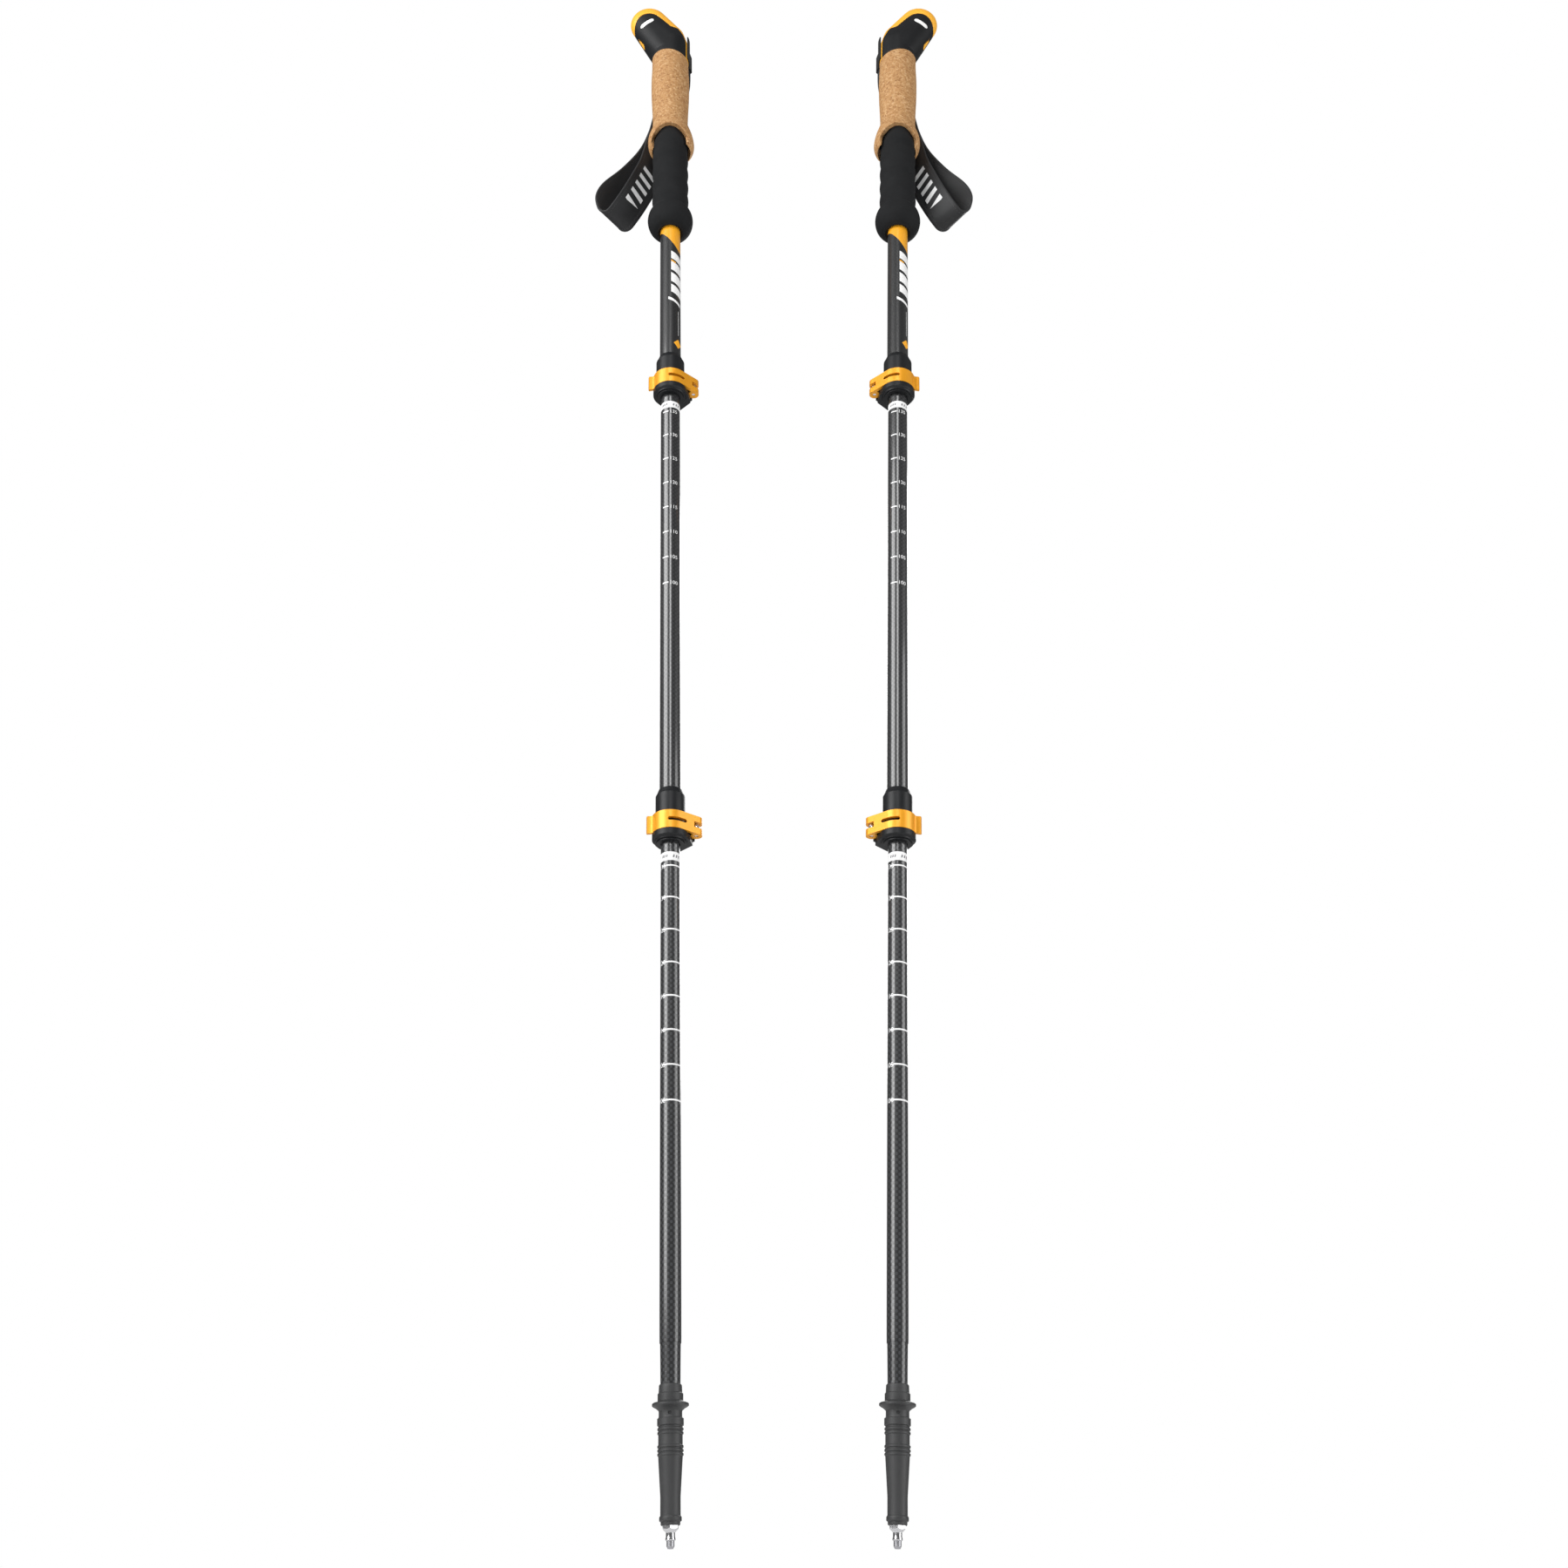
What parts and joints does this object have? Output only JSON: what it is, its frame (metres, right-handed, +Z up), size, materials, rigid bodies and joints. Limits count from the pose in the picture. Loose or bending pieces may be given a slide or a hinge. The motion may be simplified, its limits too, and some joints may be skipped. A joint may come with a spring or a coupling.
{
  "type": "trekking poles",
  "caption": "Pair of telescoping carbon trekking poles with cork grips, foam lower grips, lever locks, wrist straps and carbide tips.",
  "frame": {"origin": "middle of the pair at ground level, at the carbide tips' height, centred front to back", "axes": "+Z up along the poles, +X from the left pole to the right one, -Y the front that shows the scale marks"},
  "size_m": [0.3482, 0.0517, 1.3886],
  "materials": {
    "carbon": "semi-gloss carbon weave",
    "orange_rubber": "satin",
    "black_plastic": "matte",
    "pale_inlay": "satin",
    "webbing": "woven",
    "cork": "speckled cork",
    "foam": "closed-cell foam",
    "orange_metal": "anodised satin",
    "steel": "brushed",
    "carbide": "ground"
  },
  "bodies": {
    "left_upper": {"left_upper_tube": "carbon", "left_head_cap": "orange_rubber", "left_head_shell": "black_plastic", "left_head_inlay": "pale_inlay", "left_tail_tab": "black_plastic", "left_strap_wedge": "black_plastic", "left_strap": "webbing", "left_cork_grip": "cork", "left_foam_grip": "foam", "left_upper_clamp": "black_plastic", "left_upper_barrel_pin": "steel", "left_upper_screw": "steel", "left_upper_nut": "black_plastic"},
    "left_upper_lever": {"left_upper_lever": "orange_metal"},
    "left_mid": {"left_mid_tube": "carbon", "left_mid_bush": "black_plastic", "left_lower_clamp": "black_plastic", "left_lower_barrel_pin": "steel", "left_lower_screw": "steel", "left_lower_nut": "black_plastic"},
    "left_lower_lever": {"left_lower_lever": "orange_metal"},
    "left_lower": {"left_lower_tube": "carbon", "left_lower_bush": "black_plastic", "left_ferrule": "black_plastic", "left_tip_holder": "steel", "left_carbide_tip": "carbide"},
    "right_upper": {"right_upper_tube": "carbon", "right_head_cap": "orange_rubber", "right_head_shell": "black_plastic", "right_head_inlay": "pale_inlay", "right_tail_tab": "black_plastic", "right_strap_wedge": "black_plastic", "right_strap": "webbing", "right_cork_grip": "cork", "right_foam_grip": "foam", "right_upper_clamp": "black_plastic", "right_upper_barrel_pin": "steel", "right_upper_screw": "steel", "right_upper_nut": "black_plastic"},
    "right_upper_lever": {"right_upper_lever": "orange_metal"},
    "right_mid": {"right_mid_tube": "carbon", "right_mid_bush": "black_plastic", "right_lower_clamp": "black_plastic", "right_lower_barrel_pin": "steel", "right_lower_screw": "steel", "right_lower_nut": "black_plastic"},
    "right_lower_lever": {"right_lower_lever": "orange_metal"},
    "right_lower": {"right_lower_tube": "carbon", "right_lower_bush": "black_plastic", "right_ferrule": "black_plastic", "right_tip_holder": "steel", "right_carbide_tip": "carbide"}
  },
  "joints": [
    {"name": "pair_slide", "type": "slide", "parent": "left_upper", "child": "right_upper", "axis": [1, 0, 0], "range_m": [0, 0.25]},
    {"name": "left_mid_slide", "type": "slide", "parent": "left_upper", "child": "left_mid", "axis": [-0.0321, 0, 0.9995], "range_m": [0, 0.335]},
    {"name": "left_lower_slide", "type": "slide", "parent": "left_mid", "child": "left_lower", "axis": [-0.0321, 0, 0.9995], "range_m": [0, 0.37]},
    {"name": "left_upper_lever_hinge", "type": "hinge", "parent": "left_upper", "child": "left_upper_lever", "pos_m": [-0.07768, 0.00282, 0.90916], "axis": [-0.0321, 0, 0.9995], "range_deg": [0, 140]},
    {"name": "left_lower_lever_hinge", "type": "hinge", "parent": "left_mid", "child": "left_lower_lever", "pos_m": [-0.06481, 0.00212, 0.48635], "axis": [-0.0321, 0, 0.9995], "range_deg": [0, 140]},
    {"name": "right_mid_slide", "type": "slide", "parent": "right_upper", "child": "right_mid", "axis": [0.0321, 0, 0.9995], "range_m": [0, 0.335]},
    {"name": "right_lower_slide", "type": "slide", "parent": "right_mid", "child": "right_lower", "axis": [0.0321, 0, 0.9995], "range_m": [0, 0.37]},
    {"name": "right_upper_lever_hinge", "type": "hinge", "parent": "right_upper", "child": "right_upper_lever", "pos_m": [0.07768, 0.00282, 0.90916], "axis": [-0.0321, 0, -0.9995], "range_deg": [0, 140]},
    {"name": "right_lower_lever_hinge", "type": "hinge", "parent": "right_mid", "child": "right_lower_lever", "pos_m": [0.06481, 0.00212, 0.48635], "axis": [-0.0321, 0, -0.9995], "range_deg": [0, 140]}
  ]
}
